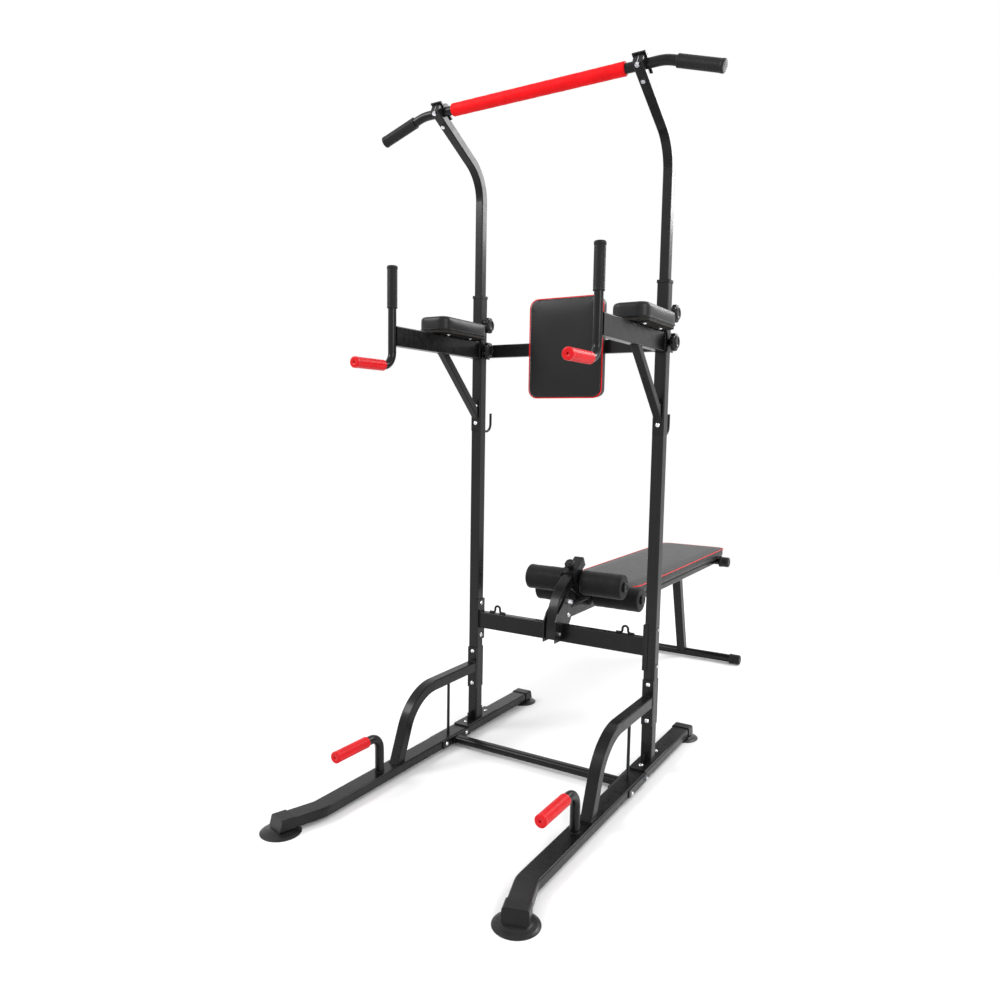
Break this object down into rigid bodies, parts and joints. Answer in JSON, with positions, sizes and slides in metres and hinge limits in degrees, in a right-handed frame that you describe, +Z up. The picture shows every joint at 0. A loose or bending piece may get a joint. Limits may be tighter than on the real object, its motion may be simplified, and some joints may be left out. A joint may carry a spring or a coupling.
{
  "type": "power tower",
  "caption": "Free-standing power tower with pull-up bar, padded dip arms, back pad, push-up handles, foam leg hold and folding sit-up bench.",
  "frame": {"origin": "on the floor, centred between the two uprights", "axes": "+Z up, +Y towards the bench, +X to the right when facing the bench from the dip arms"},
  "size_m": [1.1562, 2.5138, 2.1675],
  "materials": {
    "black_steel": "satin",
    "zinc_bolts": "polished",
    "red_foam": "matte",
    "black_foam": "matte",
    "red_rubber": "satin",
    "black_rubber": "satin",
    "black_plastic": "satin",
    "suction_rubber": "satin",
    "black_vinyl": "satin",
    "board_wood": "matte"
  },
  "bodies": {
    "frame": {"base_rail_left": "black_steel", "base_rail_right": "black_steel", "rail_caps": "black_plastic", "suction_cups": "suction_rubber", "floor_crossbar": "black_steel", "upright_left": "black_steel", "upright_right": "black_steel", "post_feet": "black_steel", "post_collars": "black_plastic", "mid_crossbar": "black_steel", "rope_loops": "black_steel", "brace_left": "black_steel", "brace_right": "black_steel", "tie_rods": "black_steel", "backing_plates": "black_steel", "push_up_grips": "red_rubber", "arm_left": "black_steel", "arm_right": "black_steel", "arm_struts": "black_steel", "dip_grips": "black_rubber", "hand_grips": "red_rubber", "elbow_boards": "board_wood", "elbow_pad_left": "black_vinyl", "elbow_pad_right": "black_vinyl", "upper_crossbar": "black_steel", "back_board": "board_wood", "back_pad": "black_vinyl", "leg_post": "black_steel", "bench_bracket": "black_steel", "pivot_bolt": "zinc_bolts", "frame_bolts": "zinc_bolts"},
    "bar_frame": {"bar_tube_left": "black_steel", "bar_tube_right": "black_steel", "pull_up_bar": "black_steel", "bar_foam": "red_foam", "bar_grips": "black_rubber", "bar_clamps": "black_steel", "clamp_bolts": "zinc_bolts"},
    "carriage": {"roller_carriage": "black_steel", "roller_axle_nuts": "black_plastic"},
    "bench": {"bench_frame": "black_steel", "bench_board": "board_wood", "bench_pad": "black_vinyl", "bench_end_caps": "black_rubber", "leg_pin": "zinc_bolts"},
    "leg": {"rear_leg": "black_steel", "foot_caps": "black_rubber"},
    "knob_low_left_body": {"knob_low_left": "black_plastic"},
    "knob_low_right_body": {"knob_low_right": "black_plastic"},
    "knob_high_left_body": {"knob_high_left": "black_plastic"},
    "knob_high_right_body": {"knob_high_right": "black_plastic"},
    "lock_pin_body": {"lock_pin": "zinc_bolts"},
    "carriage_knob_body": {"carriage_knob": "black_plastic"},
    "roller_top_left_body": {"roller_top_left": "black_foam"},
    "roller_top_right_body": {"roller_top_right": "black_foam"},
    "roller_low_left_body": {"roller_low_left": "black_foam"},
    "roller_low_right_body": {"roller_low_right": "black_foam"}
  },
  "joints": [
    {"name": "bar_height", "type": "slide", "parent": "frame", "child": "bar_frame", "axis": [0, 0, 1], "range_m": [-0.08, 0.08]},
    {"name": "bench_fold", "type": "hinge", "parent": "frame", "child": "bench", "pos_m": [0, 0.0306, 0.4835], "axis": [1, 0, 0], "range_deg": [0, 35]},
    {"name": "leg_fold", "type": "hinge", "parent": "bench", "child": "leg", "pos_m": [0, 1.268, 0.444], "axis": [-1, 0, 0], "range_deg": [0, 95]},
    {"name": "carriage_slide", "type": "slide", "parent": "frame", "child": "carriage", "axis": [0, 0.866, 0.5], "range_m": [-0.036, 0]},
    {"name": "carriage_knob_turn", "type": "hinge", "parent": "carriage", "child": "carriage_knob_body", "pos_m": [0, 0.10099, 0.61839], "axis": [0, -0.5, 0.866], "range_deg": [-360, 360]},
    {"name": "lock_pin_pull", "type": "slide", "parent": "frame", "child": "lock_pin_body", "axis": [1, 0, 0], "range_m": [0, 0.06]},
    {"name": "knob_low_left_turn", "type": "hinge", "parent": "frame", "child": "knob_low_left_body", "pos_m": [-0.3235, 0, 1.406], "axis": [1, 0, 0], "range_deg": [-360, 360]},
    {"name": "knob_low_right_turn", "type": "hinge", "parent": "frame", "child": "knob_low_right_body", "pos_m": [0.3615, 0, 1.406], "axis": [1, 0, 0], "range_deg": [-360, 360]},
    {"name": "knob_high_left_turn", "type": "hinge", "parent": "frame", "child": "knob_high_left_body", "pos_m": [-0.3235, 0, 1.493], "axis": [1, 0, 0], "range_deg": [-360, 360]},
    {"name": "knob_high_right_turn", "type": "hinge", "parent": "frame", "child": "knob_high_right_body", "pos_m": [0.3615, 0, 1.493], "axis": [1, 0, 0], "range_deg": [-360, 360]},
    {"name": "roller_top_left_spin", "type": "hinge", "parent": "carriage", "child": "roller_top_left_body", "pos_m": [0, 0.131, 0.583], "axis": [1, 0, 0], "continuous": true},
    {"name": "roller_top_right_spin", "type": "hinge", "parent": "carriage", "child": "roller_top_right_body", "pos_m": [0, 0.131, 0.583], "axis": [1, 0, 0], "continuous": true},
    {"name": "roller_low_left_spin", "type": "hinge", "parent": "carriage", "child": "roller_low_left_body", "pos_m": [0, 0.249, 0.519], "axis": [1, 0, 0], "continuous": true},
    {"name": "roller_low_right_spin", "type": "hinge", "parent": "carriage", "child": "roller_low_right_body", "pos_m": [0, 0.249, 0.519], "axis": [1, 0, 0], "continuous": true}
  ]
}
